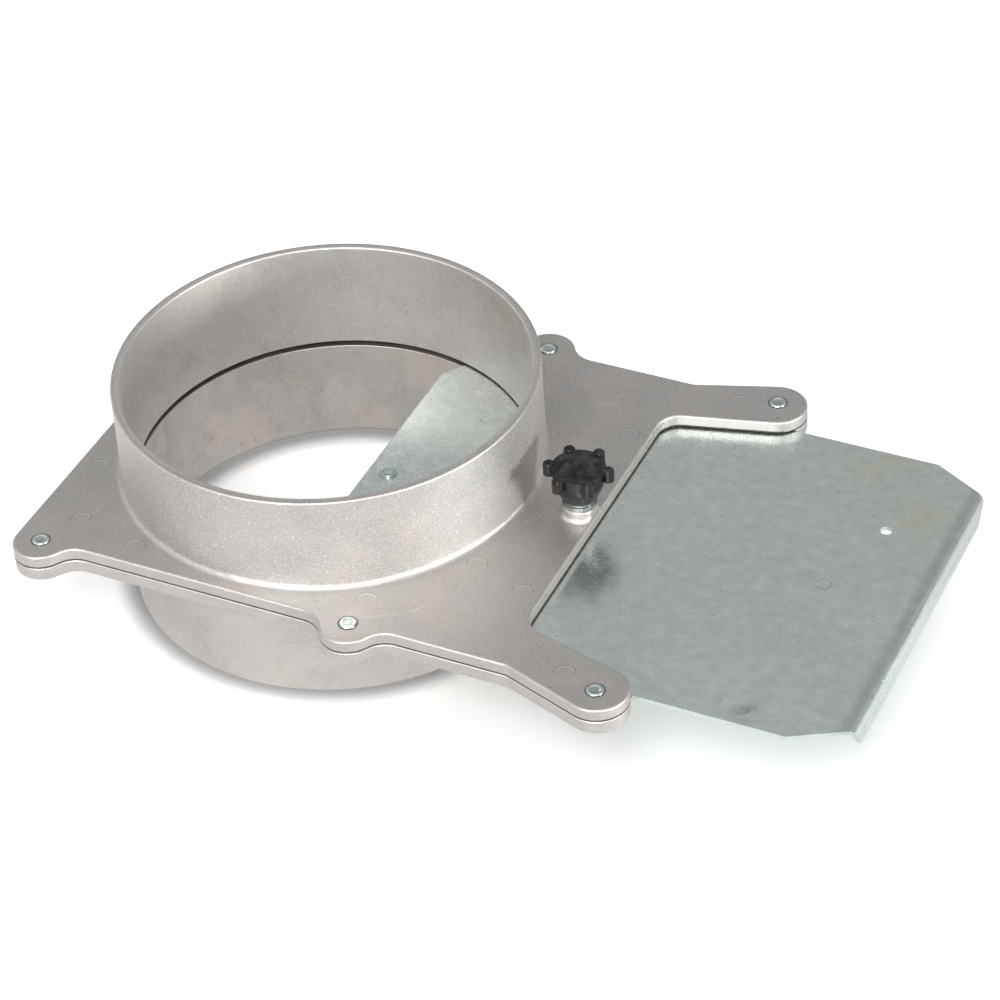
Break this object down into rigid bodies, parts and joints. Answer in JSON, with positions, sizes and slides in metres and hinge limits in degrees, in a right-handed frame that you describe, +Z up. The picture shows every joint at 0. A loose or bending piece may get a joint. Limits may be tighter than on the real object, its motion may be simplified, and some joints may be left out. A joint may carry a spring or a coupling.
{
  "type": "blast gate",
  "caption": "Cast aluminium blast gate for a round duct: a sheet gate slides between two riveted halves with collars, and a knob locks it.",
  "frame": {"origin": "on the duct axis, at the plane of the lower collar's rim", "axes": "+Z up along the duct axis, +X the way the gate is pulled open, +Y across the gate"},
  "size_m": [0.3062, 0.1856, 0.0847],
  "materials": {
    "cast_aluminium": "as cast, satin with a fine grain",
    "galvanised_sheet": "galvanised sheet, dull with a faint mottle",
    "rivet_zinc": "bright zinc plated",
    "screw_zinc": "bright zinc plated",
    "knob_plastic": "black moulded plastic, half gloss"
  },
  "bodies": {
    "housing": {"upper_casting": "cast_aluminium", "lower_casting": "cast_aluminium", "casting_rivets": "rivet_zinc"},
    "gate": {"gate_sheet": "galvanised_sheet", "stop_rivet": "rivet_zinc", "flush_rivet": "rivet_zinc"},
    "washer": {"lock_washer": "screw_zinc"},
    "knob": {"lock_screw": "screw_zinc", "lock_knob": "knob_plastic"}
  },
  "joints": [
    {"name": "gate_slide", "type": "slide", "parent": "housing", "child": "gate", "axis": [1, 0, 0], "range_m": [-0.0899, 0.0473]},
    {"name": "washer_lift", "type": "slide", "parent": "housing", "child": "washer", "axis": [0, 0, 1], "range_m": [-0.00021, 0.00201]},
    {"name": "knob_turn", "type": "hinge", "parent": "washer", "child": "knob", "pos_m": [0.09669, 0, 0.0518], "axis": [0, 0, 1], "range_deg": [-72, 720]}
  ],
  "couplings": [
    {"joint": "washer_lift", "follows": "knob_turn", "m_per_rad": 0.00015915}
  ]
}
